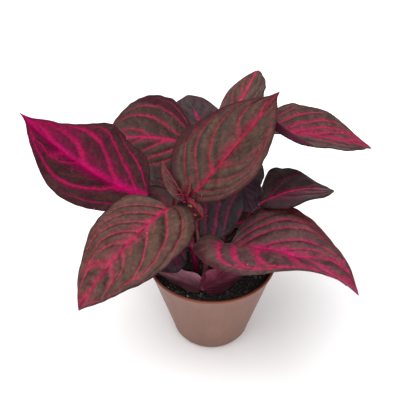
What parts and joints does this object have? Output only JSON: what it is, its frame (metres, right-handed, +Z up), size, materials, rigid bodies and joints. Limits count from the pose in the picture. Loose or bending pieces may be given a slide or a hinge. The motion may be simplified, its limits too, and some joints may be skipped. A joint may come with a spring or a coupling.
{
  "type": "potted bloodleaf",
  "caption": "Bushy foliage plant with broad pointed leaves, dark with magenta veins, in a round tapered nursery pot.",
  "frame": {"origin": "centre of the pot's underside, on the surface that the pot stands on", "axes": "+Z up along the pot's axis, -Y towards the front that the picture shows, +X to its right"},
  "size_m": [0.2491, 0.1923, 0.1673],
  "materials": {
    "pot": "satin",
    "soil": "matte",
    "stem": "satin",
    "leaf": "satin"
  },
  "bodies": {
    "root": {"pot": "pot", "soil": "soil", "stem_main": "stem", "stem_side": "stem", "stem_back": "stem", "leaf_left": "leaf", "leaf_front_left": "leaf", "leaf_back_left": "leaf", "leaf_top_right": "leaf", "leaf_back_tip": "leaf", "leaf_back_middle": "leaf", "leaf_right_high": "leaf", "leaf_right_low": "leaf", "leaf_front_right": "leaf", "leaf_shaded_front": "leaf", "leaf_crinkled": "leaf", "leaf_shaded_left": "leaf", "leaf_under_left": "leaf", "leaf_soil_left": "leaf", "leaf_soil_right": "leaf", "leaf_low_right": "leaf", "leaf_rear": "leaf", "leaf_rear_left": "leaf"}
  },
  "joints": []
}
